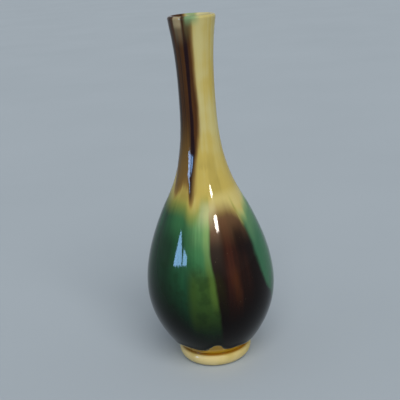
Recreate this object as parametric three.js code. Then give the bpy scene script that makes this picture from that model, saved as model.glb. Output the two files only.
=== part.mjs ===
// Bud vase in three-colour glaze: four luted clay sections, a base coat and five poured runs.
// Millimetres, +Z up. The origin is the centre of the resting face, and the front faces -Y.

import * as THREE from 'three';

const { degToRad, lerp, radToDeg } = THREE.MathUtils;

// Foot ring, a bead with a flat resting face
const FOOT_CONTACT_RADIUS = 15.9; // outer edge of the resting face
const FOOT_FACE_WIDTH = 2.4; // resting face, from edge to edge
const FOOT_CHAMFER = 0.8; // inner lower edge of the ring
const FOOT_ROUND = 6.1; // radius of the bead's section in clay, below its middle
const FOOT_TOP_ROUND = 2.15; // and above it
const LAND_ANGLE = 100; // degrees above the bead's middle where the clay of the body rests on it
const CREASE_ANGLE = 85; // and where the glaze of the two meets
const GLAZE_LINE_HEIGHT = 0.5; // the glaze stops this far above the table

// Outline of the glazed body, each height from the station below it
const SPRING_RISE = 2; // crease to where the body leaves the groove over the foot
const BELLY_RISE = 40.7; // crease to the widest place
const SHOULDER_RISE = 57; // widest place to the middle of the shoulder
const NECK_RISE = 62.2; // middle of the shoulder to the neck's waist
const LIP_RISE = 39.7; // waist to where the lip starts to round over
const ROOT_RADIUS = 21.6; // at the crease, before the groove is turned into it
const BELLY_RADIUS = 38.8;
const SHOULDER_RADIUS = 21.2;
const WAIST_RADIUS = 10.4;
const LIP_RADIUS = 13.6;
const SPRING_DEPTH = 1; // groove below the outline, where the body leaves it
const ROOT_FLARE = 0.87; // growth of the radius with height
const SHOULDER_FLARE = -0.51;
const LIP_FLARE = 0.19;

// Layers
const BASE_WALL = 3.6; // clay at the crease, thinning evenly towards the lip
const LIP_WALL = 2.2;
const GLAZE = 0.4;
const FLOOR_THICKNESS = 5;
const MOUTH_GLAZE_DEPTH = 14; // how far the base coat goes down inside the lip

// Joints between the clay sections
const BOSS_DEPTH = 4.4; // the floor's boss reaches down inside the foot ring
const BOSS_CLEARANCE = 0.3;
const NECK_JOINT_RISE = 16; // joint of shoulder and neck above the middle of the shoulder
const KEY_DEPTH = 1.5; // tongue of the upper section in the groove of the lower one
const KEY_SHARE = 0.5; // part of the wall that the tongue takes up

// Poured runs
const RUN_THICKNESS = 0.45;
const RUN_EDGE = 0.4; // thickness at a run's edge as a part of its full thickness
const RUN_BED = 0.3; // space between the base coat and a run
const RUN_SPACE = 0.3; // from a run's edge to the line that it shares with its neighbour
const RUN_WAVE = 1; // step in which the heights of a run's wavy ends are counted
const BELLY_RUN_DROP = 3; // tops of the belly runs below the middle of the shoulder
const BELLY_RUN_STOP = 6; // their feet above the crease
const NECK_RUN_DROP = 2.4; // top of the neck run below the lip
const NECK_RUN_STOP = 2; // its foot above the middle of the shoulder

// Facets
const SEGMENTS = 36;
const BEAD_STEPS = 2;
const BOWL_STEPS = 5;
const SHOULDER_STEPS = 6;
const NECK_ROOT_STEPS = 2;
const NECK_STEPS = 4;
const FLARE_STEPS = 2;
const MOUTH_STEPS = 2;
const LIP_STEPS = 6;
const FLOOR_STEPS = 4;
const FLOOR_CURVE = 4; // power of the floor's rise towards the wall
const RUN_ROWS = 13;
const RUN_SAG = 0.1; // how far the middle of a run's facet may fall inside its curve

// Heights of the stations
const LAND_Z = FOOT_ROUND + FOOT_TOP_ROUND * Math.sin(degToRad(LAND_ANGLE));
const CREASE_Z = FOOT_ROUND + (FOOT_TOP_ROUND + GLAZE) * Math.sin(degToRad(CREASE_ANGLE));
const SPRING_Z = CREASE_Z + SPRING_RISE;
const BELLY_Z = CREASE_Z + BELLY_RISE;
const SHOULDER_Z = BELLY_Z + SHOULDER_RISE;
const NECK_JOINT_Z = SHOULDER_Z + NECK_JOINT_RISE;
const WAIST_Z = SHOULDER_Z + NECK_RISE;
const LIP_Z = WAIST_Z + LIP_RISE;
const MOUTH_Z = LIP_Z - MOUTH_GLAZE_DEPTH;
const BASE_Z = LAND_Z - BOSS_DEPTH;
const FLOOR_Z = BASE_Z + FLOOR_THICKNESS;

const GLAZE_LINE_ANGLE = radToDeg(Math.asin((FOOT_ROUND - GLAZE_LINE_HEIGHT) / (FOOT_ROUND + GLAZE)));
const FOOT_INNER_RADIUS = FOOT_CONTACT_RADIUS - FOOT_FACE_WIDTH - FOOT_CHAMFER;

const STATIONS = [
  { z: CREASE_Z, r: ROOT_RADIUS, flare: ROOT_FLARE },
  { z: BELLY_Z, r: BELLY_RADIUS, flare: 0 },
  { z: SHOULDER_Z, r: SHOULDER_RADIUS, flare: SHOULDER_FLARE },
  { z: WAIST_Z, r: WAIST_RADIUS, flare: 0 },
  { z: LIP_Z, r: LIP_RADIUS, flare: LIP_FLARE },
];

// Radius and flare of the glazed outline at a height: cubic pieces between the stations.
function outline(z) {
  const next = STATIONS.findIndex((station, i) => i > 0 && z <= station.z);
  const upper = STATIONS[next < 0 ? STATIONS.length - 1 : next];
  const lower = STATIONS[STATIONS.indexOf(upper) - 1];
  const span = upper.z - lower.z;
  const t = (z - lower.z) / span;
  const blend = t * t * (3 - 2 * t);
  const r = lerp(lower.r, upper.r, blend)
    + span * t * (1 - t) * ((1 - t) * lower.flare - t * upper.flare);
  const flare = (6 * t * (1 - t) * (upper.r - lower.r)) / span
    + (1 - t) * (1 - 3 * t) * lower.flare
    + t * (3 * t - 2) * upper.flare;
  return { r, flare };
}

// Point below the glazed outline, measured square to it.
function pointAt(z, depth) {
  const { r, flare } = outline(z);
  const length = Math.hypot(1, flare);
  return new THREE.Vector2(r - depth / length, z + (depth * flare) / length);
}

function wallAt(z) {
  return lerp(BASE_WALL, LIP_WALL, (z - CREASE_Z) / (LIP_Z - CREASE_Z));
}

const coatOuter = (z) => pointAt(z, 0);
const clayOuter = (z) => pointAt(z, GLAZE);
const clayInner = (z) => pointAt(z, GLAZE + wallAt(z));
const coatInner = (z) => pointAt(z, 2 * GLAZE + wallAt(z));

// Heights from one station to the next, both ends included.
function levels(from, to, steps) {
  return Array.from({ length: steps + 1 }, (_, i) => lerp(from, to, i / steps));
}

const BOWL_LEVELS = levels(CREASE_Z, BELLY_Z, BOWL_STEPS);
const SHOULDER_LEVELS = [
  ...levels(BELLY_Z, SHOULDER_Z, SHOULDER_STEPS),
  ...levels(SHOULDER_Z, NECK_JOINT_Z, NECK_ROOT_STEPS).slice(1),
];
const MOUTH_LEVELS = levels(MOUTH_Z, LIP_Z, MOUTH_STEPS);
const NECK_LEVELS = [
  ...levels(NECK_JOINT_Z, WAIST_Z, NECK_STEPS),
  ...levels(WAIST_Z, MOUTH_Z, FLARE_STEPS).slice(1),
  ...MOUTH_LEVELS.slice(1),
];

function polar(centre, radius, angle) {
  return new THREE.Vector2(Math.cos(angle), Math.sin(angle)).multiplyScalar(radius).add(centre);
}

// Point of the foot's bead at an angle above its middle; cover is the glaze on the clay.
function beadPoint(degrees, cover) {
  const round = degrees > 0 ? FOOT_TOP_ROUND : FOOT_ROUND;
  const middle = new THREE.Vector2(FOOT_CONTACT_RADIUS + FOOT_ROUND - round, FOOT_ROUND);
  return polar(middle, round + cover, degToRad(degrees));
}

// Glazed part of the bead, from the glaze line up to an angle above its middle.
function bead(top, cover) {
  const angles = [...levels(-GLAZE_LINE_ANGLE, 0, BEAD_STEPS), ...levels(0, top, BEAD_STEPS).slice(1)];
  return angles.map((degrees) => beadPoint(degrees, cover));
}

// Place where the body leaves the groove over the foot.
function spring(cover) {
  return pointAt(SPRING_Z, GLAZE + SPRING_DEPTH - cover);
}

// Half round over the lip, without its two ends; cover is the glaze on the clay.
function lipRound(cover) {
  const centre = pointAt(LIP_Z, GLAZE + LIP_WALL / 2);
  const start = -Math.atan(LIP_FLARE);
  const angles = levels(start, start + Math.PI, LIP_STEPS).slice(1, -1);
  const radius = LIP_WALL / 2 + cover;
  return angles.map((angle) => polar(centre, radius, angle));
}

// Keyed joint across the wall, from its outer to its inner face.
function joint(z) {
  const along = new THREE.Vector2(outline(z).flare, 1).normalize();
  const across = (share) => pointAt(z, GLAZE + share * wallAt(z));
  const tip = across(0.5).addScaledVector(along, -KEY_DEPTH);
  return [across(0), across(0.5 - KEY_SHARE / 2), tip, across(0.5 + KEY_SHARE / 2), across(1)];
}

// The floor inside, dished up to the wall, from its edge to the middle.
function floorDish() {
  const edge = clayInner(CREASE_Z);
  return levels(1, 0, FLOOR_STEPS).slice(1).map(
    (share) => new THREE.Vector2(edge.x * share, lerp(FLOOR_Z, edge.y, share ** FLOOR_CURVE)),
  );
}

function turned(points) {
  return new THREE.LatheGeometry(points, SEGMENTS).rotateX(Math.PI / 2);
}

function ring(points) {
  return turned([...points, points[0]]);
}

// Clay sections
function footRing() {
  return ring([
    new THREE.Vector2(FOOT_INNER_RADIUS + FOOT_CHAMFER, 0),
    new THREE.Vector2(FOOT_CONTACT_RADIUS, 0),
    beadPoint(-(90 + GLAZE_LINE_ANGLE) / 2, 0),
    ...bead(LAND_ANGLE, 0),
    new THREE.Vector2(FOOT_INNER_RADIUS, LAND_Z),
    new THREE.Vector2(FOOT_INNER_RADIUS, FOOT_CHAMFER),
  ]);
}

function bowl() {
  const bossRadius = FOOT_INNER_RADIUS - BOSS_CLEARANCE;
  return turned([
    new THREE.Vector2(0, BASE_Z),
    new THREE.Vector2(bossRadius, BASE_Z),
    new THREE.Vector2(bossRadius, LAND_Z),
    beadPoint(LAND_ANGLE, 0),
    spring(0),
    ...BOWL_LEVELS.slice(1, -1).map(clayOuter),
    ...joint(BELLY_Z),
    ...BOWL_LEVELS.slice(0, -1).map(clayInner).reverse(),
    ...floorDish(),
  ]);
}

function shoulder() {
  return ring([
    ...joint(BELLY_Z).reverse(),
    ...SHOULDER_LEVELS.slice(1, -1).map(clayOuter),
    ...joint(NECK_JOINT_Z),
    ...SHOULDER_LEVELS.slice(1, -1).map(clayInner).reverse(),
  ]);
}

function neck() {
  return ring([
    ...joint(NECK_JOINT_Z).reverse(),
    ...NECK_LEVELS.slice(1).map(clayOuter),
    ...lipRound(0),
    ...NECK_LEVELS.slice(1).map(clayInner).reverse(),
  ]);
}

// Base coat: up the outside, over the lip, into the mouth, and back along the clay.
function baseCoat() {
  const heights = [...BOWL_LEVELS.slice(1), ...SHOULDER_LEVELS.slice(1), ...NECK_LEVELS.slice(1)];
  const onClay = [...bead(LAND_ANGLE, 0), spring(0), ...heights.map(clayOuter), ...lipRound(0)];
  return ring([
    ...bead(CREASE_ANGLE, GLAZE),
    spring(GLAZE),
    ...heights.map(coatOuter),
    ...lipRound(GLAZE),
    ...MOUTH_LEVELS.map(coatInner).reverse(),
    ...MOUTH_LEVELS.map(clayInner),
    ...onClay.reverse(),
  ]);
}

// Value at a share of the way through an evenly spaced list.
function through(values, share) {
  const place = THREE.MathUtils.clamp(share, 0, 1) * (values.length - 1);
  const i = Math.min(Math.floor(place), values.length - 2);
  return lerp(values[i], values[i + 1], place - i);
}

// A run of glaze between two upright edges. Edges list degrees to the right of the front, from low to high;
// top and foot list steps above the band's own ends, from left to right.
function run({ low, high, widest, left, right, top, foot }) {
  const width = degToRad(Math.max(...left.map((degrees, i) => right[i] - degrees)));
  const column = 2 * Math.acos(1 - RUN_SAG / outline(widest).r);
  const sheet = new THREE.BoxGeometry(1, 1, 1, Math.ceil(width / column), RUN_ROWS, 1);
  const position = sheet.attributes.position;
  for (let i = 0; i < position.count; i += 1) {
    const across = position.getX(i) + 0.5;
    const up = position.getY(i) + 0.5;
    const bottom = low + RUN_WAVE * through(foot, across);
    const z = lerp(bottom, high + RUN_WAVE * through(top, across), up);
    const share = (z - low) / (high - low);
    const inset = radToDeg(RUN_SPACE / outline(z).r);
    const angle = degToRad(lerp(through(left, share) + inset, through(right, share) - inset, across));
    const fromEdge = Math.min(across, 1 - across, up, 1 - up);
    const thickness = RUN_THICKNESS * (fromEdge > 0 ? 1 : RUN_EDGE);
    const { x, y } = pointAt(z, -RUN_BED - (position.getZ(i) > 0 ? thickness : 0));
    position.setXYZ(i, x * Math.sin(angle), -x * Math.cos(angle), y);
  }
  sheet.computeVertexNormals();
  return sheet;
}

// Lines where neighbouring belly runs meet, in degrees from low to high
const FRONT_ANGLES = [8, 6, 4, 3, 3, 10];
const RIGHT_ANGLES = [78, 72, 62, 54, 50, 44];
const BACK_ANGLES = [140, 146, 150, 152, 150, 146];
const LEFT_ANGLES = [-150, -146, -140, -138, -140, -146];

// Edges of the neck run
const NECK_LEFT_ANGLES = [-80, -100, -114, -120, -118, -110];
const NECK_RIGHT_ANGLES = [-23, -16, -1, 3, 2, -1];

const BELLY_BAND = { low: CREASE_Z + BELLY_RUN_STOP, high: SHOULDER_Z - BELLY_RUN_DROP, widest: BELLY_Z };
const NECK_BAND = { low: SHOULDER_Z + NECK_RUN_STOP, high: LIP_Z - NECK_RUN_DROP, widest: SHOULDER_Z };

const RUNS = {
  green_glaze_left: {
    ...BELLY_BAND,
    left: LEFT_ANGLES,
    right: FRONT_ANGLES,
    top: [-2, -4, -3, -1, 0, -2, 0],
    foot: [1, 0, 0, 0, 4],
  },
  brown_glaze_front: {
    ...BELLY_BAND,
    left: FRONT_ANGLES,
    right: RIGHT_ANGLES,
    top: [-2, -1, -1, -3],
    foot: [4, 0, 0, 0],
  },
  green_glaze_right: {
    ...BELLY_BAND,
    left: RIGHT_ANGLES,
    right: BACK_ANGLES,
    top: [-10, -1, 2, 0, -3],
    foot: [0, 0, 1],
  },
  brown_glaze_back: {
    ...BELLY_BAND,
    left: BACK_ANGLES,
    right: LEFT_ANGLES.map((degrees) => degrees + 360),
    top: [-3, -1, -4],
    foot: [1, 0, 2],
  },
  brown_glaze_neck: {
    ...NECK_BAND,
    left: NECK_LEFT_ANGLES,
    right: NECK_RIGHT_ANGLES,
    top: [0, 0],
    foot: [10, 3, 0, 4, 0],
  },
};

function finish(colour, roughness) {
  return new THREE.MeshStandardMaterial({ color: colour, roughness, metalness: 0 });
}

const bareClay = () => finish(0xd8c9ae, 0.8);
const amberGlass = () => finish(0xb8a45c, 0.15);
const greenGlass = () => finish(0x2f6b3c, 0.12);
const brownGlass = () => finish(0x3a2114, 0.12);

const vase = new THREE.Group();
vase.name = 'bud_vase';

function add(name, geometry, material) {
  const mesh = new THREE.Mesh(geometry, material);
  mesh.name = name;
  vase.add(mesh);
}

add('foot_ring', footRing(), bareClay());
add('bowl', bowl(), bareClay());
add('shoulder', shoulder(), bareClay());
add('neck', neck(), bareClay());
add('amber_glaze', baseCoat(), amberGlass());
for (const [name, edges] of Object.entries(RUNS)) {
  add(name, run(edges), name.startsWith('green') ? greenGlass() : brownGlass());
}

export default vase;
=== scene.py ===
"""Looks of the bud vase: four smooth clay sections under one flowing coat of amber, green and brown glaze."""

import math

import bmesh
import bpy
import numpy as np
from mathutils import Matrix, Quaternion, Vector


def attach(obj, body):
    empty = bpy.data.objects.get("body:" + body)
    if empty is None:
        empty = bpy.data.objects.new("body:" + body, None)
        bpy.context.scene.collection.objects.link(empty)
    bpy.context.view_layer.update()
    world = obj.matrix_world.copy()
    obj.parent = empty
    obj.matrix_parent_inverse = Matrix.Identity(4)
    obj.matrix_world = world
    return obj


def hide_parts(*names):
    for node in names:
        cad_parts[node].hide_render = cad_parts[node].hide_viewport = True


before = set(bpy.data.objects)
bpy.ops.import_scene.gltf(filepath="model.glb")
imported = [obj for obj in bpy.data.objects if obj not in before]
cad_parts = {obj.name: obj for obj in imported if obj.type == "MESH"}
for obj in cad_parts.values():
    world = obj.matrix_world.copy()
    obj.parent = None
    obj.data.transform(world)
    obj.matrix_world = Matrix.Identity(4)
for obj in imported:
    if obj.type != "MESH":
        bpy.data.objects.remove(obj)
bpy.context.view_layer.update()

MM = 0.001  # the sizes below are in millimetres, and the meshes in metres

# Foot ring, as in the CAD solids
FOOT_CONTACT_RADIUS = 15.9
FOOT_FACE_WIDTH = 2.4
FOOT_CHAMFER = 0.8
FOOT_ROUND = 6.1
FOOT_TOP_ROUND = 2.15
LAND_ANGLE = 100
CREASE_ANGLE = 85
GLAZE_LINE_HEIGHT = 0.5

# Outline of the glazed body, as in the CAD solids
BELLY_RISE = 40.7
SHOULDER_RISE = 57
NECK_RISE = 62.2
LIP_RISE = 39.7
ROOT_RADIUS = 21.6
BELLY_RADIUS = 38.8
SHOULDER_RADIUS = 21.2
WAIST_RADIUS = 10.4
LIP_RADIUS = 13.6
ROOT_FLARE = 0.87
SHOULDER_FLARE = -0.51
LIP_FLARE = 0.19

# Layers and joints, as in the CAD solids
BASE_WALL = 3.6
LIP_WALL = 2.2
GLAZE = 0.4
FLOOR_THICKNESS = 5
FLOOR_CURVE = 4
MOUTH_GLAZE_DEPTH = 14
BOSS_DEPTH = 4.4
BOSS_CLEARANCE = 0.3
NECK_JOINT_RISE = 16
KEY_DEPTH = 1.5
KEY_SHARE = 0.5

# Fine form of the clay
GROOVE_RISE = 7  # height over which the body rounds in to the crease
CLAY_ROUND = 0.45  # wiped edges of the clay
CORNER_SHARE = 0.4  # most that a wiped edge takes of the sides beside it
CORNER_POINTS = 5
SHARP_CORNER = 25  # degrees from which an edge of the clay is wiped

# Fine form of the coat
COAT_GAP = 0.02  # space between the clay and the coat
LIP_THINNING = 0.97  # the glaze draws thin over the lip
RUN_RELIEF = 0.22  # how far the green and brown runs stand out from the amber
RUN_SWELL = (0, 5)  # lengths inside a run's edge between which it swells
FOOT_SWELL = (-0.4, 1.2)  # the same at the foot of the runs on the belly
NECK_SIDE_SWELL = (0, 2)
NECK_FOOT_SWELL = (-0.5, 5)
POOL_RELIEF = 0.25  # bead that gathers along the foot of a run
POOL_RISE = 1  # height of the bead's middle over the foot
POOL_WIDTH = 1.6
RIPPLE = 0.05  # uneven thickness of the glaze
RIPPLE_WAVES = [(3, 0.031, 0.4), (5, 0.052, 1.9), (9, 0.023, 3.1), (14, 0.041, 5.2)]  # count, slant and start
RIPPLE_FADE = (0, 3)  # distances from the crease and the lip between which beads and ripples begin
CREASE_SOFTENING = 3  # passes that let the glaze fill the crease over the foot
CREASE_SIDE_ROWS = 6  # rows on each side of the crease that they reach

# Mesh steps
COAT_SEGMENTS = 240
CLAY_SEGMENTS = 128
TURN_UP_STEPS = 6  # from the resting face to the glaze line
BEAD_STEPS = 14  # on each side of the bead's middle
CREASE_STEPS = 36
CREASE_REACH = 12
BODY_STEPS = 130
BOWL_STEPS = 24
DISH_STEPS = 12
SHOULDER_STEPS = 36
NECK_STEPS = 44
LIP_STEPS = 22
MOUTH_STEPS = 14
CREASE_ROW = 2 * BEAD_STEPS  # rows of the coat's outline
LIP_ROW = CREASE_ROW + CREASE_STEPS + BODY_STEPS

# Heights of the stations
CREASE_TURN = math.radians(CREASE_ANGLE)
LAND_Z = FOOT_ROUND + FOOT_TOP_ROUND * math.sin(math.radians(LAND_ANGLE))
CREASE_Z = FOOT_ROUND + (FOOT_TOP_ROUND + GLAZE) * math.sin(CREASE_TURN)
BELLY_Z = CREASE_Z + BELLY_RISE
SHOULDER_Z = BELLY_Z + SHOULDER_RISE
NECK_JOINT_Z = SHOULDER_Z + NECK_JOINT_RISE
WAIST_Z = SHOULDER_Z + NECK_RISE
LIP_Z = WAIST_Z + LIP_RISE
MOUTH_Z = LIP_Z - MOUTH_GLAZE_DEPTH
BASE_Z = LAND_Z - BOSS_DEPTH
FLOOR_Z = BASE_Z + FLOOR_THICKNESS

# Sizes that follow from these
GLAZE_LINE_ANGLE = math.degrees(math.asin((FOOT_ROUND - GLAZE_LINE_HEIGHT) / (FOOT_ROUND + GLAZE)))
BEAD_RADIUS = FOOT_CONTACT_RADIUS + FOOT_ROUND  # of the clay at the bead's middle
CREASE_RADIUS = BEAD_RADIUS - FOOT_TOP_ROUND + (FOOT_TOP_ROUND + GLAZE) * math.cos(CREASE_TURN)
GROOVE_DEPTH = ROOT_RADIUS - CREASE_RADIUS
FOOT_INNER_RADIUS = FOOT_CONTACT_RADIUS - FOOT_FACE_WIDTH - FOOT_CHAMFER

# Height, radius and flare
STATIONS = [
    (CREASE_Z, ROOT_RADIUS, ROOT_FLARE),
    (BELLY_Z, BELLY_RADIUS, 0),
    (SHOULDER_Z, SHOULDER_RADIUS, SHOULDER_FLARE),
    (WAIST_Z, WAIST_RADIUS, 0),
    (LIP_Z, LIP_RADIUS, LIP_FLARE),
]

# Where the runs of glaze lie. Upright edges: height, and degrees to the right of the front.
FRONT_EDGE = [
    (12, 11), (20, 9.5), (27, 7.6), (39, 6), (52, 5), (64, 4), (76, 1), (84, 1), (95, 2.5), (102, 6),
]
RIGHT_EDGE = [
    (12, 100), (20, 95), (33, 84), (39, 74), (45, 66), (52, 59), (60, 54), (72, 51), (84, 49.7), (95, 46.2),
    (102, 42),
]
BACK_EDGE = [(12, 140), (25, 146), (38, 148), (52, 147), (65, 153), (78, 151), (90, 146), (102, 145)]
LEFT_EDGE = [(12, -152), (25, -147), (38, -141), (52, -141), (65, -136), (78, -141), (90, -143), (102, -149)]
NECK_RIGHT_EDGE = [
    (106, -21), (114, -20), (120, -19), (127, -16.5), (133, -12), (140, -6), (150, 0), (157, 1), (164, 0),
    (172, -2), (190, -3.5), (209, -2),
]
NECK_LEFT_EDGE = [(106, -80), (125, -100), (150, -116), (196, -122), (205, -148), (210, -158)]

# Tops and feet of the runs: degrees to the right of the front, and height.
BELLY_TOP = [
    (-180, 99), (-172, 97), (-163, 94), (-152, 96.5), (-140, 97), (-120, 101), (-84, 106), (-60, 105),
    (-40, 105), (-28, 102.5), (-16, 99), (-8, 102.5), (0, 104.5), (8, 104.5), (18, 105.5), (30, 105.5),
    (38, 103.5), (44, 100), (49, 95), (54, 95), (60, 98), (72, 100.5), (88, 103), (120, 101), (138, 97),
    (148, 95), (157, 98.5), (168, 100.5), (180, 99),
]
BELLY_FOOT = [
    (-180, 14), (-120, 12), (-84, 11.5), (-65, 12.7), (-50, 15.6), (-38, 15.5), (-28, 14.8), (-20, 14.2),
    (-13, 14.6), (-7, 17), (-3, 18.6), (2, 19.8), (6, 18.8), (9, 16.7), (13, 14.8), (20, 14.2), (28, 14.8),
    (38, 14.2), (50, 11.6), (65, 11), (90, 11.5), (140, 13), (180, 14),
]
NECK_FOOT = [
    (-125, 150), (-95, 126), (-74, 119), (-63, 111), (-52, 110.5), (-43, 116), (-33, 115), (-28, 111),
    (-23, 106.5), (-17, 111),
]

# Heights below which the green sinks into black, round the vase, and depths below them between which it does.
# The black is partly dark thick glaze and partly painted shade on the lower belly
DARK_FROM = [
    (-180, 80), (-70, 80), (-45, 78), (-28, 74), (-14, 64), (8, 61), (50, 62), (90, 66), (130, 80), (180, 80),
]
GREEN_SINKS = (0, 44)
# The brown's black below is partly dark glaze and partly painted shade on the lower belly
BROWN_SINKS = (70, 34)  # heights between which the brown does

# How the colours of the runs wander, in degrees for the sides and in millimetres for the rest
SIDE_WANDER = 6.0
TOP_WANDER = 2.5
FOOT_WANDER = 2.0
NECK_FOOT_WANDER = 8.0
DARK_WANDER = 20.0

# Distances inside the edges between which the colours set in, in the same units
FRONT_FADE = (-1.5, 2)
RIGHT_FADE = (-3, 3)
HIDDEN_FADE = (-6, 6)
FOOT_FADE = (-0.5, 0.6)
FRINGE_FADE = (-9, 3)
GREEN_FADE = (-5, 8)
BROWN_FADE = (-3, 9)
NECK_FADES = ((-4, 8), (-10, 10), (-2.5, 5))  # right, left and foot
STAIN_FADES = ((-9, 3), (-16, 4), (-4, 1.5))


def tone(red, green, blue):
    """Colour from its 0 to 255 screen values, as the linear values that shaders take."""
    shares = [v / 255 for v in (red, green, blue)]
    return tuple(s / 12.92 if s <= 0.04045 else ((s + 0.055) / 1.055) ** 2.4 for s in shares) + (1,)


# Colours of the amber base coat
AMBER_THIN = tone(192, 180, 120)
AMBER_THICK = tone(186, 164, 84)
AMBER_SMOKE = tone(132, 116, 56)
AMBER_DUSK = tone(148, 130, 62)
AMBER_HALO = tone(204, 190, 126)
FOOT_CREAM = tone(218, 198, 140)
STRIP_LEFT = tone(198, 164, 96)
STRIP_FRONT = tone(204, 154, 34)
STRIP_HIGH = tone(160, 120, 22)
# Crease colours: glaze gathered in the crease, darkened by painted shade
CREASE_LEFT = tone(126, 88, 28)
CREASE_FRONT = tone(150, 98, 4)

# Colours of the green runs
GREEN_DARK = tone(20, 54, 36)
GREEN_CLEAR = tone(36, 88, 54)
# Painted light (lit) and painted shade (shaded) on the green
GREEN_LIT = tone(64, 114, 70)
GREEN_SHADED = tone(20, 36, 24)
GREEN_STRIPE = tone(114, 162, 102)
GREEN_FRESH = tone(34, 106, 62)
GREEN_THIN = tone(150, 168, 92)
GREEN_CREAM = tone(196, 194, 128)
GREEN_OLIVE = tone(56, 80, 25)
GREEN_MOTTLE = tone(22, 42, 17)
GREEN_EDGE = tone(104, 126, 46)
GREEN_RIGHT = tone(58, 108, 76)
GREEN_RIGHT_TOP = tone(120, 156, 104)
# Black of the lower green: partly dark thick glaze, partly painted shade
GREEN_BLACK_AND_SHADE = tone(5, 9, 3)
FRINGE_LEFT = tone(140, 142, 62)
FRINGE_RIGHT = tone(156, 170, 104)

# Colours of the brown runs on the belly
BROWN_DARK = tone(18, 8, 5)
BROWN_RED = tone(58, 27, 16)
BROWN_GLOW = tone(92, 50, 18)
# Plum tint of the brown, partly the glaze's own and partly painted reflection
BROWN_PLUM_AND_REFLECTION = tone(64, 52, 42)
BROWN_MOSS = tone(44, 40, 14)
BROWN_TOP = tone(122, 90, 60)
BROWN_SHADE = tone(14, 5, 4)
# Paler brown near the top, partly a painted highlight blurred round the lamp's glint
BROWN_PALE_AND_GLINT_HAZE = tone(150, 114, 88)
# Black of the lower brown: partly dark glaze, partly painted shade
BROWN_BLACK_AND_SHADE = tone(8, 2, 1)
BROWN_BLOOM = tone(198, 190, 142)
PINHOLE = tone(150, 134, 104)

# Colours of the brown run on the neck, and of the lip
UMBER_DARK = tone(48, 33, 23)
UMBER_WARM = tone(76, 46, 20)
UMBER_THIN = tone(120, 92, 44)
UMBER_RUST = tone(82, 46, 14)
UMBER_CORE = tone(30, 12, 16)
NECK_TINGE = tone(120, 96, 40)
NECK_STAIN = tone(128, 92, 44)
LIP_OLIVE = tone(100, 88, 54)
LIP_GREEN = tone(120, 152, 108)
LIP_PALE = tone(206, 198, 150)
LIP_FAR_GREEN = tone(124, 156, 114)
LIP_WORN = tone(176, 160, 124)

# Colours of the clay, the floor and the lights
CLAY_PALE = tone(206, 186, 146)
CLAY_DEEP = tone(186, 160, 116)
CLAY_GRAIN = tone(224, 206, 170)
CLAY_SPECK = tone(104, 72, 46)
FLOOR_COOL = tone(172, 180, 186)
FLOOR_PALE = tone(180, 188, 194)
ROOM = tone(205, 214, 222)
DAYLIGHT = tone(151, 197, 255)
LAMPLIGHT = tone(255, 248, 236)

GLAZE_IOR = 1.25  # real glaze has about 1.5, and would mirror the pale floor more strongly

# Stage
FLOOR_HALF = 10.0
FLOOR_DROP = 0.00005  # below the resting face
HORIZON_STRENGTH = 0.72
CEILING_STRENGTH = 0.45
CEILING_FROM = (0.12, 0.5)  # heights of the view between which the ceiling darkens
KEY_STRENGTH = 2.35
KEY_SPREAD = 50  # degrees across the soft light
KEY_FROM = (10, 42)  # degrees to the right of the front, and above the table

# Window and lamp that the glaze mirrors. Radiance is what a mirror would show of them.
WINDOW_PLACE = Vector((-0.015, -0.027, 0.082))  # on the belly, where it mirrors the window
WINDOW_DISTANCE = 1.4
WINDOW_RADIANCE = 39
LAMP_PLACE = Vector((0.005, -0.026, 0.095))  # on the shoulder, where it mirrors the lamp
LAMP_DISTANCE = 0.8
LAMP_RADIANCE = 115
LAMP_SPREAD = 7.8  # degrees across
LAMP_FROM = (25, 29.2)  # degrees to the right of the front, and above the table
# Strips of the window that show between its curtains: degrees to the right of the front, from and to, and
# degrees above the table, from and to
WINDOW = [
    (-72, -66, 2.9, 4.1),
    (-71.5, -60, 4.1, 5.3),
    (-71, -54.3, 5.3, 6.6),
    (-70.2, -54.6, 6.6, 9.9),
    (-69.2, -55.2, 9.9, 13),
    (-68.2, -56.6, 13, 16.2),
    (-67.3, -59.3, 16.2, 18.7),
    (-66.6, -62.6, 18.7, 20.6),
    (-52, -49, 6.5, 15.5),
    (-49, -46, 6.8, 14.5),
    (-46, -43, 7.2, 13.4),
]

# Camera, from the photograph's perspective
CAMERA_PLACE = Vector((0, -0.4425, 0.2422))
CAMERA_YAW = -0.0065
CAMERA_PITCH = 0.3079
CAMERA_ROLL = -0.0758
SENSOR = 36
LENS = 69.77


def outline(z):
    """Radius and flare of the glazed outline at a height: cubic pieces between the stations."""
    upper = next((i for i in range(1, len(STATIONS)) if z <= STATIONS[i][0]), len(STATIONS) - 1)
    (z0, r0, flare0), (z1, r1, flare1) = STATIONS[upper - 1:upper + 1]
    span = z1 - z0
    t = (z - z0) / span
    radius = r0 + (r1 - r0) * t * t * (3 - 2 * t) + span * t * (1 - t) * ((1 - t) * flare0 - t * flare1)
    flare = 6 * t * (1 - t) * (r1 - r0) / span + (1 - t) * (1 - 3 * t) * flare0 + t * (3 * t - 2) * flare1
    return radius, flare


def under(z, radius, flare, depth):
    """Point under a place of an outline, measured square to it."""
    length = math.hypot(1, flare)
    return radius - depth / length, z + depth * flare / length


def point_at(z, depth):
    return under(z, *outline(z), depth)


def outside_at(z, depth):
    """The same, where the outside rounds in to the groove over the foot."""
    radius, flare = outline(z)
    up = min(1, (z - CREASE_Z) / GROOVE_RISE)
    radius -= GROOVE_DEPTH * (1 - up ** 2) ** 2
    flare += 4 * GROOVE_DEPTH * up * (1 - up ** 2) / GROOVE_RISE
    return under(z, radius, flare, depth)


def wall_at(z):
    return BASE_WALL + (LIP_WALL - BASE_WALL) * (z - CREASE_Z) / (LIP_Z - CREASE_Z)


def clay_outer(z):
    return outside_at(z, GLAZE)


def clay_inner(z):
    return point_at(z, GLAZE + wall_at(z))


def arc(centre, radius, start, stop, steps):
    """Points of a round stretch, from one angle to another, in degrees."""
    turns = np.radians(np.linspace(start, stop, steps + 1))
    return [(centre[0] + radius * math.cos(t), centre[1] + radius * math.sin(t)) for t in turns]


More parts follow.
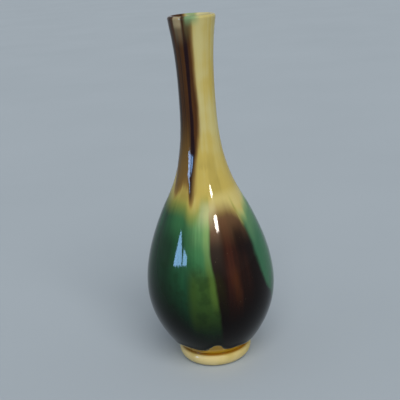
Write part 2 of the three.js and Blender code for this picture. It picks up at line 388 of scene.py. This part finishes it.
def bead(top, cover):
    """Glazed part of the foot's bead, from the glaze line up to an angle above its middle."""
    lower = arc((FOOT_CONTACT_RADIUS, FOOT_ROUND), FOOT_ROUND + cover, -GLAZE_LINE_ANGLE, 0, BEAD_STEPS)
    centre = (BEAD_RADIUS - FOOT_TOP_ROUND, FOOT_ROUND)
    return lower + arc(centre, FOOT_TOP_ROUND + cover, 0, top, BEAD_STEPS)[1:]


def lip_round(cover):
    """Half round over the lip, without its ends."""
    start = -math.degrees(math.atan(LIP_FLARE))
    centre = point_at(LIP_Z, GLAZE + LIP_WALL / 2)
    return arc(centre, LIP_WALL / 2 + cover, start, start + 180, LIP_STEPS)[1:-1]


def joint(z):
    """Keyed joint across the wall, from its outer to its inner face."""
    flare = outline(z)[1]
    length = math.hypot(1, flare)
    shares = (0, 0.5 - KEY_SHARE / 2, 0.5, 0.5 + KEY_SHARE / 2, 1)
    points = [point_at(z, GLAZE + share * wall_at(z)) for share in shares]
    r, height = points[2]
    points[2] = (r - KEY_DEPTH * flare / length, height - KEY_DEPTH / length)
    return points


def rounded(points, closed=True):
    """The same outline with its sharp corners turned into small arcs."""
    made = []
    for i, here in enumerate(points):
        if not closed and i in (0, len(points) - 1):
            made.append(here)
            continue
        corner = Vector(here)
        back = Vector(points[i - 1]) - corner
        ahead = Vector(points[(i + 1) % len(points)]) - corner
        if math.degrees(math.pi - back.angle(ahead)) < SHARP_CORNER:
            made.append(here)
            continue
        start, stop = [
            corner + side.normalized() * min(CLAY_ROUND, side.length * CORNER_SHARE) for side in (back, ahead)
        ]
        for t in np.linspace(0, 1, CORNER_POINTS):
            made.append(tuple(start.lerp(corner, t).lerp(corner.lerp(stop, t), t)))
    return made


def mesh_object(name, mesh):
    data = bpy.data.meshes.new(name)
    mesh.to_mesh(data)
    mesh.free()
    made = bpy.data.objects.new(name, data)
    bpy.context.scene.collection.objects.link(made)
    return made


def revolve(name, points, segments, relief=None):
    """Closed solid turned from an outline in millimetres.

    An outline that starts and ends on the axis gets poles.
    """
    on_axis = points[0][0] == 0
    rows = np.array(points[1:-1] if on_axis else points, float)
    turns = np.radians(np.arange(segments) * 360 / segments)
    r = np.repeat(rows[:, :1], segments, axis=1)
    z = np.repeat(rows[:, 1:], segments, axis=1)
    if relief is not None:
        r, z = relief(rows, np.degrees(turns), r, z)
    places = np.stack([r * np.sin(turns), -r * np.cos(turns), z], axis=-1) * MM
    mesh = bmesh.new()
    grid = [[mesh.verts.new(p) for p in row] for row in places]
    next_rows = grid[1:] if on_axis else grid[1:] + grid[:1]
    for low, high in zip(grid, next_rows):
        for i in range(segments):
            j = (i + 1) % segments
            mesh.faces.new((low[i], low[j], high[j], high[i]))
    if on_axis:
        for row, (_, height) in ((grid[0], points[0]), (grid[-1], points[-1])):
            pole = mesh.verts.new((0, 0, height * MM))
            for i in range(segments):
                mesh.faces.new((row[i], row[(i + 1) % segments], pole))
    bmesh.ops.recalc_face_normals(mesh, faces=mesh.faces)
    made = mesh_object(name, mesh)
    made.data.shade_smooth()
    return made


def levels(low, high, steps):
    return list(np.linspace(low, high, steps + 1))


BOWL_LEVELS = levels(CREASE_Z, BELLY_Z, BOWL_STEPS)
SHOULDER_LEVELS = levels(BELLY_Z, NECK_JOINT_Z, SHOULDER_STEPS)
NECK_LEVELS = levels(NECK_JOINT_Z, LIP_Z, NECK_STEPS)


def foot_ring():
    flat = [(FOOT_INNER_RADIUS + FOOT_CHAMFER, 0), (FOOT_CONTACT_RADIUS, 0)]
    centre = (FOOT_CONTACT_RADIUS, FOOT_ROUND)
    turn_up = arc(centre, FOOT_ROUND, -90, -GLAZE_LINE_ANGLE, TURN_UP_STEPS)[1:-1]
    inside = [(FOOT_INNER_RADIUS, LAND_Z), (FOOT_INNER_RADIUS, FOOT_CHAMFER)]
    points = rounded(flat + turn_up + bead(LAND_ANGLE, 0) + inside)
    return revolve("clay_foot_ring", points, CLAY_SEGMENTS)


def bowl():
    boss = FOOT_INNER_RADIUS - BOSS_CLEARANCE
    base = [(0, BASE_Z), (boss, BASE_Z), (boss, LAND_Z), bead(LAND_ANGLE, 0)[-1]]
    outside = [clay_outer(z) for z in BOWL_LEVELS[1:-1]]
    inside = [clay_inner(z) for z in BOWL_LEVELS[:-1]][::-1]
    edge_r, edge_z = inside[-1]
    shares = levels(1, 0, DISH_STEPS)[1:]
    dish = [(edge_r * s, FLOOR_Z + (edge_z - FLOOR_Z) * s ** FLOOR_CURVE) for s in shares]
    points = rounded(base + outside + joint(BELLY_Z) + inside + dish, closed=False)
    return revolve("clay_bowl", points, CLAY_SEGMENTS)


def shoulder():
    outside = [clay_outer(z) for z in SHOULDER_LEVELS[1:-1]]
    inside = [clay_inner(z) for z in SHOULDER_LEVELS[1:-1]][::-1]
    points = rounded(joint(BELLY_Z)[::-1] + outside + joint(NECK_JOINT_Z) + inside)
    return revolve("clay_shoulder", points, CLAY_SEGMENTS)


def neck():
    outside = [clay_outer(z) for z in NECK_LEVELS[1:]]
    inside = [clay_inner(z) for z in NECK_LEVELS[1:]][::-1]
    points = rounded(joint(NECK_JOINT_Z)[::-1] + outside + lip_round(0) + inside)
    return revolve("clay_neck", points, CLAY_SEGMENTS)


def smooth_step(value, low, high):
    t = np.clip((value - low) / (high - low), 0, 1)
    return t * t * (3 - 2 * t)


def listed(points, at):
    """Values at some places of a list of pairs."""
    return np.interp(at, *zip(*points))


def ripple(angle, z):
    """Gentle waves of the glaze's thickness, the same on each run."""
    turn = np.radians(angle)
    waves = [np.sin(count * turn + slant * z + start) for count, slant, start in RIPPLE_WAVES]
    return sum(waves) / len(waves)


def glaze_relief(angle, z):
    """How far the glaze stands out from the coat's even outline, in millimetres."""
    angle = (angle + 180) % 360 - 180
    to_top = listed(BELLY_TOP, angle) - z
    from_foot = z - listed(BELLY_FOOT, angle)
    belly = smooth_step(to_top, *RUN_SWELL) * smooth_step(from_foot, *FOOT_SWELL)
    degree = np.radians(1) * listed([station[:2] for station in STATIONS], z)
    right = (listed(NECK_RIGHT_EDGE, z) - angle) * degree
    left = (angle - listed(NECK_LEFT_EDGE, z)) * degree
    sides = smooth_step(right, *NECK_SIDE_SWELL) * smooth_step(left, *NECK_SIDE_SWELL)
    ends = smooth_step(z - listed(NECK_FOOT, angle), *NECK_FOOT_SWELL) * smooth_step(LIP_Z - z, *RUN_SWELL)
    pool = np.exp(-((from_foot - POOL_RISE) / POOL_WIDTH) ** 2)
    uneven = POOL_RELIEF * pool + RIPPLE * ripple(angle, z)
    uneven = uneven * smooth_step(z - CREASE_Z, *RIPPLE_FADE) * smooth_step(LIP_Z - z, *RIPPLE_FADE)
    return RUN_RELIEF * np.maximum(belly, sides * ends) + uneven


def coat_relief(rows, angles, r, z):
    """Moves the rows of the coat's outer face out along their normals."""
    along = np.gradient(rows, axis=0)
    along /= np.linalg.norm(along, axis=1, keepdims=True)
    lift = glaze_relief(angles[None, :], z)
    lift[:CREASE_ROW] = 0
    lift[LIP_ROW:] = 0
    return r + lift * along[:, 1:], z - lift * along[:, :1]


def soften(points, middle):
    """Lets the glaze fill the inner corner at one point of an outline."""
    rows = np.array(points)
    near = slice(middle - CREASE_SIDE_ROWS, middle + CREASE_SIDE_ROWS + 1)
    for _ in range(CREASE_SOFTENING):
        part = rows[near].copy()
        rows[near][1:-1] = (part[:-2] + 2 * part[1:-1] + part[2:]) / 4
    return [tuple(p) for p in rows]


def glaze_coat():
    """One skin from the glaze line over the body and the lip into the mouth, closed along the clay."""
    low = levels(CREASE_Z, CREASE_Z + CREASE_REACH, CREASE_STEPS)[1:]
    high = levels(CREASE_Z + CREASE_REACH, LIP_Z, BODY_STEPS)[1:]
    outside = bead(CREASE_ANGLE, GLAZE) + [outside_at(z, 0) for z in low + high]
    outside = soften(outside, CREASE_ROW)
    over_lip = [(r, LIP_Z + (z - LIP_Z) * LIP_THINNING) for r, z in lip_round(GLAZE)]
    mouth = levels(LIP_Z, MOUTH_Z, MOUTH_STEPS)
    over_mouth = [point_at(z, 2 * GLAZE + wall_at(z)) for z in mouth]
    under_mouth = [point_at(z, GLAZE + COAT_GAP + wall_at(z)) for z in mouth[::-1]]
    under_lip = lip_round(COAT_GAP)[::-1]
    clay_levels = BOWL_LEVELS[1:] + SHOULDER_LEVELS[1:] + NECK_LEVELS[1:]
    under_body = [outside_at(z, GLAZE - COAT_GAP) for z in clay_levels[::-1]]
    under_foot = bead(LAND_ANGLE, COAT_GAP)[::-1]
    points = outside + over_lip + over_mouth + under_mouth + under_lip + under_body + under_foot
    return revolve("glaze_coat", points, COAT_SEGMENTS, coat_relief)


class Graph:
    """A material's nodes, added one by one. A number or a socket is taken wherever a value is needed."""

    def __init__(self, name):
        self.material = bpy.data.materials.new(name)
        self.material.use_nodes = True
        self.nodes = self.material.node_tree.nodes
        self.shader = self.nodes["Principled BSDF"]

    def put(self, socket, value):
        if isinstance(value, bpy.types.NodeSocket):
            self.material.node_tree.links.new(value, socket)
        else:
            socket.default_value = value

    def add(self, kind, inputs=(), **settings):
        node = self.nodes.new(kind)
        for key, value in settings.items():
            setattr(node, key, value)
        for key, value in dict(inputs).items():
            self.put(node.inputs[key], value)
        return node

    def math(self, operation, a, b=0.0, c=0.0):
        return self.add("ShaderNodeMath", {0: a, 1: b, 2: c}, operation=operation).outputs[0]

    def plus(self, *parts):
        total = parts[0]
        for part in parts[1:]:
            total = self.math("ADD", total, part)
        return total

    def minus(self, a, b):
        return self.math("SUBTRACT", a, b)

    def times(self, *factors):
        product = factors[0]
        for factor in factors[1:]:
            product = self.math("MULTIPLY", product, factor)
        return product

    def either(self, a, b):
        return self.math("MAXIMUM", a, b)

    def rest(self, a):
        return self.math("SUBTRACT", 1.0, a)

    def step(self, value, low, high):
        """0 at low and 1 at high, with a soft passage between them. Low may be the larger one."""
        inputs = {0: value, 1: low, 2: high}
        return self.add("ShaderNodeMapRange", inputs, interpolation_type="SMOOTHSTEP").outputs[0]

    def band(self, value, low, rise, fall, high):
        return self.times(self.step(value, low, rise), self.rest(self.step(value, fall, high)))

    def listed(self, points, value):
        """Smooth curve through a list of pairs."""
        at, values = zip(*points)
        low, high = min(values), max(values)
        share = self.add("ShaderNodeMapRange", {0: value, 1: at[0], 2: at[-1]}).outputs[0]
        node = self.add("ShaderNodeFloatCurve", {1: share})
        curve = node.mapping.curves[0]
        placed = [((a - at[0]) / (at[-1] - at[0]), (v - low) / (high - low)) for a, v in points]
        curve.points[0].location = placed[0]
        curve.points[1].location = placed[-1]
        for place in placed[1:-1]:
            curve.points.new(*place)
        node.mapping.update()
        return self.math("MULTIPLY_ADD", node.outputs[0], high - low, low)

    def vector(self, x, y, z):
        return self.add("ShaderNodeCombineXYZ", {0: x, 1: y, 2: z}).outputs[0]

    def noise(self, vector, scale=1.0, detail=2.0, roughness=0.5):
        inputs = {"Vector": vector, "Scale": scale, "Detail": detail, "Roughness": roughness}
        return self.add("ShaderNodeTexNoise", inputs).outputs[0]

    def mix(self, factor, first, second):
        inputs = {0: factor, 6: first, 7: second}
        return self.add("ShaderNodeMix", inputs, data_type="RGBA").outputs[2]

    def position(self):
        """Object coordinates in millimetres, as one vector and as three numbers."""
        coordinates = self.add("ShaderNodeTexCoord").outputs["Object"]
        scaled = self.add("ShaderNodeVectorMath", {0: coordinates, 3: 1 / MM}, operation="SCALE").outputs[0]
        return scaled, *self.add("ShaderNodeSeparateXYZ", {0: scaled}).outputs

    def from_axis(self, x, y):
        return self.math("SQRT", self.plus(self.times(x, x), self.times(y, y)))

    def surface(self, colour, variation, least, spread):
        """Colour, and a roughness that rises with the variation from its least value."""
        self.put(self.shader.inputs["Base Color"], colour)
        self.put(self.shader.inputs["Roughness"], self.math("MULTIPLY_ADD", variation, spread, least))

    def bump(self, height, distance, strength):
        inputs = {"Height": height, "Distance": distance * MM, "Strength": strength}
        self.put(self.shader.inputs["Normal"], self.add("ShaderNodeBump", inputs).outputs[0])


class Glaze(Graph):
    """Nodes of the glaze, with the fields that its layers share.

    Heights are in millimetres, and angles in degrees to the right of the front. The streaks and the cloud are
    noises about zero.
    """

    def __init__(self, name):
        super().__init__(name)
        self.place, x, y, self.height = self.position()
        self.angle = self.times(self.math("ARCTAN2", x, self.times(y, -1.0)), 180 / math.pi)
        self.aside = self.math("ABSOLUTE", self.angle)  # from the front to either side
        radius = self.from_axis(x, y)
        self.turns = [self.math("DIVIDE", part, radius) for part in (x, y)]
        self.broad = self.streaks(fineness=4, length=90)
        self.fine = self.streaks(fineness=11, length=60, detail=4.0)
        self.wander = self.streaks(fineness=5, length=18)
        self.ragged = self.streaks(fineness=9, length=70)
        self.hair = self.streaks(fineness=26, length=40, detail=3.0)
        self.cloud = self.minus(self.noise(self.place, scale=0.05), 0.5)
        self.smoke = self.plus(self.fine, self.times(self.cloud, 2.0))
        self.mottle = self.noise(self.place, scale=0.13, detail=3.0)
        self.pitting = self.noise(self.place, scale=0.11, detail=1.0)
        cells = self.add("ShaderNodeTexVoronoi", {"Vector": self.place, "Scale": 0.42}, feature="F1")
        self.from_cell = cells.outputs["Distance"]
        self.drift = self.plus(self.angle, self.times(self.wander, SIDE_WANDER))  # the angle, made wavy
        self.past_edge = self.minus(self.drift, self.listed(FRONT_EDGE, self.height))
        top = self.plus(self.listed(BELLY_TOP, self.angle), self.times(self.ragged, TOP_WANDER))
        self.to_top = self.minus(top, self.height)  # of the runs on the belly
        self.right_side = self.where(angle=(44, 56, 100, 130))

    def streaks(self, fineness, length, detail=2.0):
        """Noise drawn out down the vase."""
        around = [self.times(turn, fineness) for turn in self.turns]
        vector = self.vector(*around, self.times(self.height, 1 / length))
        return self.minus(self.noise(vector, detail=detail), 0.5)

    def where(self, **zones):
        """1 where each field lies in its zone: the limits of a step, or those of a band's rise and fall."""
        parts = []
        for field, limits in zones.items():
            shape = self.step if len(limits) == 2 else self.band
            parts.append(shape(getattr(self, field), *limits))
        return self.times(*parts)

    def patch(self, base, colour, strength, **zones):
        """Lays a colour over another one where all the zones meet."""
        return self.mix(self.times(self.where(**zones), strength), base, colour)


def amber_layer(g):
    """Base coat, paler where it is thin and browner in the crease, where glaze gathers and painted shade
    darkens it.
    """
    golden = g.times(g.where(height=(158, 120)), 0.22)
    thickness = g.plus(golden, g.times(g.broad, 0.8), g.cloud)
    amber = g.mix(g.step(thickness, -0.2, 0.24), AMBER_THIN, AMBER_THICK)
    amber = g.patch(
        amber, AMBER_SMOKE, 0.3, height=(102, 114, 122, 134), smoke=(0.05, 0.35), aside=(44, 24),
    )
    amber = g.patch(amber, AMBER_DUSK, 0.35, drift=(8, 16, 28, 38), height=(104, 112, 124, 138))
    amber = g.patch(amber, AMBER_HALO, 0.5, angle=(4, 14, 84, 104), height=(98, 103, 107, 113))
    amber = g.patch(amber, FOOT_CREAM, 0.9, height=(9.2, 7.2), cloud=(0.28, -0.05))
    strip = g.mix(g.where(angle=(-34, -6, 120, 170)), STRIP_LEFT, STRIP_FRONT)
    strip = g.mix(g.where(height=(12.5, 16)), strip, STRIP_HIGH)
    amber = g.patch(amber, strip, 0.94, height=(8, 9.6, 20, 27))
    # Band along the crease: gathered glaze with painted shade
    gathered_and_shaded = g.mix(g.where(angle=(-40, -10, 120, 170)), CREASE_LEFT, CREASE_FRONT)
    return g.patch(amber, gathered_and_shaded, 0.95, height=(CREASE_Z - 0.8, CREASE_Z, CREASE_Z + 0.8, CREASE_Z + 2))


def green_layer(g):
    """Green, bright and thin beside the front brown, with painted light high on its front left and painted
    shade down its left side, and sinking into black below: partly dark thick glaze, partly painted shade.
    """
    flow = g.plus(g.broad, g.times(g.fine, 0.25), g.times(g.hair, 0.12))
    green = g.mix(g.step(flow, -0.2, 0.2), GREEN_DARK, GREEN_CLEAR)
    # Painted light high on the front left, painted shade down the left side
    green = g.patch(green, GREEN_LIT, 0.55, drift=(-66, -36, -14, 0), height=(80, 98))
    green = g.patch(green, GREEN_SHADED, 0.62, drift=(-130, -90, -44, -22), height=(96, 82))
    stripe = g.where(drift=(-30, -2), height=(58, 106), angle=(30, 20))
    streaked = g.math("MULTIPLY_ADD", g.times(stripe, g.plus(g.fine, g.hair)), 0.9, stripe)
    green = g.mix(streaked, green, GREEN_STRIPE)
    green = g.patch(green, GREEN_FRESH, 0.35, drift=(-26, -16, -3, 2), height=(66, 74, 80, 88))
    green = g.patch(green, GREEN_THIN, 0.42, past_edge=(-9, -3, 1, 3), height=(60, 96))
    green = g.patch(green, GREEN_CREAM, 0.5, past_edge=(-10, -4, 1, 3), height=(92, 102))
    green = g.patch(green, GREEN_OLIVE, 0.75, drift=(-24, -14, 8, 14), height=(24, 38, 62, 77))
    green = g.patch(green, GREEN_MOTTLE, 0.4, mottle=(0.48, 0.64), height=(84, 62))
    green = g.patch(green, GREEN_EDGE, 0.3, past_edge=(-8, -3, 1, 3), height=(40, 54, 70, 84))
    green = g.mix(g.times(g.right_side, 0.8), green, GREEN_RIGHT)
    green = g.mix(g.times(g.right_side, g.where(to_top=(20, 2)), 0.4), green, GREEN_RIGHT_TOP)
    # Below dark_from the green goes to black: partly dark thick glaze, partly painted shade
    dark_from = g.plus(g.listed(DARK_FROM, g.angle), g.times(g.broad, DARK_WANDER))
    return g.mix(g.step(g.minus(dark_from, g.height), *GREEN_SINKS), green, GREEN_BLACK_AND_SHADE)


def brown_layer(g):
    """Brown, reddish down the middle and near black below, the black partly dark glaze and partly painted
    shade, with a plum tint that is partly painted reflection and a paler top that is partly a painted
    highlight round the lamp's glint.
    """
    front_ember = g.plus(g.where(drift=(9, 20, 23, 30)), g.times(g.where(drift=(24, 28, 35, 44)), 0.25))
    hidden_ember = g.times(g.where(aside=(148, 157, 165, 178)), 0.9)
    reddish = g.times(g.plus(front_ember, hidden_ember), g.plus(g.fine, g.hair, 0.9))
    brown = g.mix(reddish, BROWN_DARK, BROWN_RED)
    brown = g.patch(brown, BROWN_GLOW, 0.3, drift=(17, 22, 24, 30), height=(44, 54, 62, 74))
    # Plum on the brown's upper left: partly glaze tint, partly painted reflection
    brown = g.patch(brown, BROWN_PLUM_AND_REFLECTION, 0.55, past_edge=(-2, 1, 8, 16), height=(62, 84))
    brown = g.patch(brown, BROWN_MOSS, 0.6, past_edge=(-2, 1, 4, 10), height=(30, 44, 62, 74))
    brown = g.patch(brown, BROWN_TOP, 0.75, height=(79, 105))
    brown = g.patch(brown, BROWN_SHADE, 0.6, drift=(27, 33, 38, 45), height=(72, 80, 86, 95))
    # Painted highlight: soft blur round the lamp's glint, over the brown's paler top
    brown = g.patch(brown, BROWN_PALE_AND_GLINT_HAZE, 0.42, past_edge=(-1, 3, 8, 15), height=(81, 97))
    # Below these heights the brown goes to black: partly dark glaze, partly painted shade
    uneven = g.minus(g.height, g.times(g.broad, DARK_WANDER))
    return g.mix(g.step(uneven, *BROWN_SINKS), brown, BROWN_BLACK_AND_SHADE)


def umber_layer(g):
    """Brown of the neck, with a dark plum core and a rusty edge."""
    umber = g.mix(g.step(g.plus(g.fine, g.broad), -0.2, 0.2), UMBER_DARK, UMBER_WARM)
    umber = g.patch(umber, UMBER_THIN, 0.8, height=(158, 124), drift=(-24, -36))
    umber = g.patch(umber, UMBER_RUST, 0.5, drift=(-18, -14, -8, -2), height=(120, 146, 194, 202))
    return g.patch(umber, UMBER_CORE, 1.0, drift=(-30, -26, -20, -15), height=(104, 120, 192, 204))


def belly_colour(g, amber):
    """Green and brown runs over the base coat, and where the brown ones lie."""
    right = g.minus(g.listed(RIGHT_EDGE, g.height), g.drift)
    in_front = g.times(g.step(g.past_edge, *FRONT_FADE), g.step(right, *RIGHT_FADE))
    past_back = g.step(g.minus(g.drift, g.listed(BACK_EDGE, g.height)), *HIDDEN_FADE)
    past_left = g.step(g.minus(g.listed(LEFT_EDGE, g.height), g.drift), *HIDDEN_FADE)
    in_brown = g.either(in_front, g.either(past_back, past_left))
    foot = g.plus(g.listed(BELLY_FOOT, g.angle), g.times(g.wander, FOOT_WANDER))
    over_foot = g.step(g.minus(g.height, foot), *FOOT_FADE)
    under_brown = g.either(g.where(to_top=(5, 12)), g.where(angle=(41, 49, 60, 75), to_top=(0, 5)))
    in_green = g.times(g.either(g.rest(in_brown), under_brown), over_foot)
    inside = g.times(g.to_top, g.plus(g.times(g.right_side, 0.6), 1.0))  # the right side has a harder edge
    fringe = g.mix(g.right_side, FRINGE_LEFT, FRINGE_RIGHT)
    colour = g.mix(g.times(g.step(inside, *FRINGE_FADE), in_green), amber, fringe)
    colour = g.mix(g.times(g.step(inside, *GREEN_FADE), in_green), colour, green_layer(g))
    in_brown_run = g.times(g.step(g.to_top, *BROWN_FADE), in_brown, over_foot)
    colour = g.mix(in_brown_run, colour, brown_layer(g))
    colour = g.patch(colour, BROWN_BLOOM, 0.5, past_edge=(-18, -8, 2, 12), height=(89, 102, 103, 109))
    return colour, in_brown


def neck_colour(g, colour):
    """Run on the neck, in a stain that reaches a little farther."""
    foot = g.plus(g.listed(NECK_FOOT, g.angle), g.times(g.ragged, NECK_FOOT_WANDER))
    distances = (
        g.minus(g.listed(NECK_RIGHT_EDGE, g.height), g.drift),
        g.minus(g.drift, g.listed(NECK_LEFT_EDGE, g.height)),
        g.minus(g.height, foot),
    )
    stain, run = [
        g.times(*[g.step(distance, *fade) for distance, fade in zip(distances, fades)])
        for fades in (STAIN_FADES, NECK_FADES)
    ]
    colour = g.patch(colour, NECK_TINGE, 0.35, drift=(-50, -40, -27, -21), height=(105, 110, 116, 124))
    colour = g.mix(g.times(stain, 0.8), colour, NECK_STAIN)
    return g.mix(run, colour, umber_layer(g))


def lip_colour(g, colour):
    """Green spots, pale rim and worn place of the lip."""
    colour = g.patch(colour, LIP_OLIVE, 0.7, drift=(-24, -17, -8, 2), height=(194, 206))
    colour = g.patch(colour, LIP_GREEN, 0.9, drift=(-20, -13, 4, 22), height=(203.5, 210))
    colour = g.patch(colour, LIP_PALE, 0.7, angle=(84, 110, 160, 172), height=(204, 208))
    far_side = g.either(g.where(angle=(158, 174)), g.where(angle=(-158, -170)))
    colour = g.mix(g.times(far_side, g.where(height=(202, 208)), 0.8), colour, LIP_FAR_GREEN)
    wear = g.plus(g.times(g.where(height=(192, 204)), 0.3), g.times(g.where(height=(202.5, 206)), 0.5))
    return g.mix(g.times(g.where(drift=(-54, -46, -31, -25)), wear), colour, LIP_WORN)


def glaze_material():
    """Amber base coat with green and brown poured over it, each run streaked by its flow."""
    g = Glaze("poured_glaze")
    colour, in_brown = belly_colour(g, amber_layer(g))
    colour = lip_colour(g, neck_colour(g, colour))
    pitted = g.where(from_cell=(0.12, 0.05), height=(30, 60, 90, 98), pitting=(0.5, 0.62))
    pinhole = g.times(pitted, in_brown)
    colour = g.mix(g.times(pinhole, 0.4), colour, PINHOLE)
    grain = g.noise(g.place, scale=1.1)
    g.surface(colour, grain, least=0.03, spread=0.06)
    g.put(g.shader.inputs["IOR"], GLAZE_IOR)
    relief = g.minus(g.plus(grain, g.times(g.fine, 0.8)), g.times(pinhole, 1.5))
    g.bump(relief, distance=0.03, strength=0.1)
    return g.material


def clay_material():
    """Buff stoneware, wiped and speckled, with the rings that turning left on it."""
    g = Graph("buff_clay")
    place, x, y, _ = g.position()
    grain = g.noise(place, scale=2.6, detail=4.0, roughness=0.6)
    cloud = g.noise(place, scale=0.12, detail=3.0)
    speck = g.noise(place, scale=1.7, detail=1.0)
    ring = g.math("SINE", g.plus(g.times(g.from_axis(x, y), 4.2), g.times(cloud, 5.0)))
    colour = g.mix(g.step(cloud, 0.36, 0.64), CLAY_PALE, CLAY_DEEP)
    colour = g.mix(g.times(g.step(grain, 0.42, 0.62), 0.4), colour, CLAY_GRAIN)
    colour = g.mix(g.times(g.step(speck, 0.66, 0.72), 0.7), colour, CLAY_SPECK)
    g.surface(colour, grain, least=0.72, spread=0.2)
    g.bump(g.plus(grain, g.times(ring, 0.35)), distance=0.12, strength=0.5)
    return g.material


def floor_material():
    """Pale satin table top."""
    g = Graph("pale_floor")
    place, *_ = g.position()
    cloud = g.noise(place, scale=0.004, detail=3.0)
    g.surface(g.mix(cloud, FLOOR_COOL, FLOOR_PALE), cloud, least=0.65, spread=0.1)
    g.put(g.shader.inputs["Specular IOR Level"], 0.0)
    return g.material


def towards(azimuth, elevation):
    """Direction from the vase: degrees to the right of the front, and degrees above the table."""
    a = math.radians(azimuth)
    e = math.radians(elevation)
    return Vector((math.sin(a) * math.cos(e), -math.cos(a) * math.cos(e), math.sin(e)))


def light_object(data, away):
    """Object for a light that comes from a direction."""
    made = bpy.data.objects.new(data.name, data)
    bpy.context.scene.collection.objects.link(made)
    made.rotation_mode = "QUATERNION"
    made.rotation_quaternion = away.to_track_quat("Z", "Y")
    return made


def mirrored_light(name, shape, spread, place, direction, distance, radiance, colour):
    """Light that shows as a reflection alone. Its spread is in degrees, across and up."""
    width, height = [2 * distance * math.tan(math.radians(angle) / 2) for angle in spread]
    data = bpy.data.lights.new(name, "AREA")
    data.shape = shape
    data.size, data.size_y = width, height
    area = width * height * (math.pi / 4 if shape == "DISK" else 1)
    data.energy = radiance * area * math.pi
    data.color = colour[:3]
    away = towards(*direction)
    made = light_object(data, away)
    made.location = place + away * distance
    made.visible_diffuse = False


def lights():
    """Soft key light, and the window and the lamp that the glaze mirrors."""
    key = bpy.data.lights.new("key", "SUN")
    key.energy = KEY_STRENGTH
    key.angle = math.radians(KEY_SPREAD)
    light_object(key, towards(*KEY_FROM)).visible_glossy = False
    for i, (left, right, low, high) in enumerate(WINDOW):
        mirrored_light(
            f"window_{i}", "RECTANGLE", (right - left, high - low), WINDOW_PLACE,
            ((left + right) / 2, (low + high) / 2), WINDOW_DISTANCE, WINDOW_RADIANCE, DAYLIGHT,
        )
    mirrored_light(
        "round_lamp", "DISK", (LAMP_SPREAD, LAMP_SPREAD), LAMP_PLACE, LAMP_FROM, LAMP_DISTANCE, LAMP_RADIANCE,
        LAMPLIGHT,
    )


def floor():
    mesh = bmesh.new()
    bmesh.ops.create_grid(mesh, x_segments=1, y_segments=1, size=FLOOR_HALF)
    made = mesh_object("floor", mesh)
    made.location.z = -FLOOR_DROP
    made.data.materials.append(floor_material())


def room():
    """Even light from all round, weaker from the ceiling."""
    world = bpy.data.worlds.new("room")
    world.use_nodes = True
    nodes = world.node_tree.nodes
    links = world.node_tree.links
    view = nodes.new("ShaderNodeTexCoord")
    parts = nodes.new("ShaderNodeSeparateXYZ")
    rise = nodes.new("ShaderNodeMapRange")
    rise.interpolation_type = "SMOOTHSTEP"
    for socket, value in zip(rise.inputs[1:5], (*CEILING_FROM, HORIZON_STRENGTH, CEILING_STRENGTH)):
        socket.default_value = value
    links.new(view.outputs["Generated"], parts.inputs[0])
    links.new(parts.outputs["Z"], rise.inputs[0])
    links.new(rise.outputs[0], nodes["Background"].inputs["Strength"])
    nodes["Background"].inputs["Color"].default_value = ROOM
    bpy.context.scene.world = world


def camera():
    data = bpy.data.cameras.new("camera")
    data.sensor_width = SENSOR
    data.lens = LENS
    made = bpy.data.objects.new("camera", data)
    bpy.context.scene.collection.objects.link(made)
    forward = Vector((
        math.sin(CAMERA_YAW) * math.cos(CAMERA_PITCH),
        math.cos(CAMERA_YAW) * math.cos(CAMERA_PITCH),
        -math.sin(CAMERA_PITCH),
    ))
    made.location = CAMERA_PLACE
    made.rotation_mode = "QUATERNION"
    made.rotation_quaternion = forward.to_track_quat("-Z", "Y") @ Quaternion((0, 0, 1), CAMERA_ROLL)
    bpy.context.scene.camera = made


def settle(piece, material, slot, *nodes):
    """The piece takes the material and goes under the root body in place of those CAD nodes, which are
    hidden.
    """
    piece.data.materials.append(material)
    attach(piece, "root")
    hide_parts(*nodes)


bpy.context.scene.view_settings.view_transform = "Standard"
clay = clay_material()
settle(foot_ring(), clay, "clay", "foot_ring")
settle(bowl(), clay, "clay", "bowl")
settle(shoulder(), clay, "clay", "shoulder")
settle(neck(), clay, "clay", "neck")
settle(
    glaze_coat(), glaze_material(), "amber_glaze", "amber_glaze", "green_glaze_left", "brown_glaze_front",
    "green_glaze_right", "brown_glaze_back", "brown_glaze_neck",
)
floor()
room()
lights()
camera()
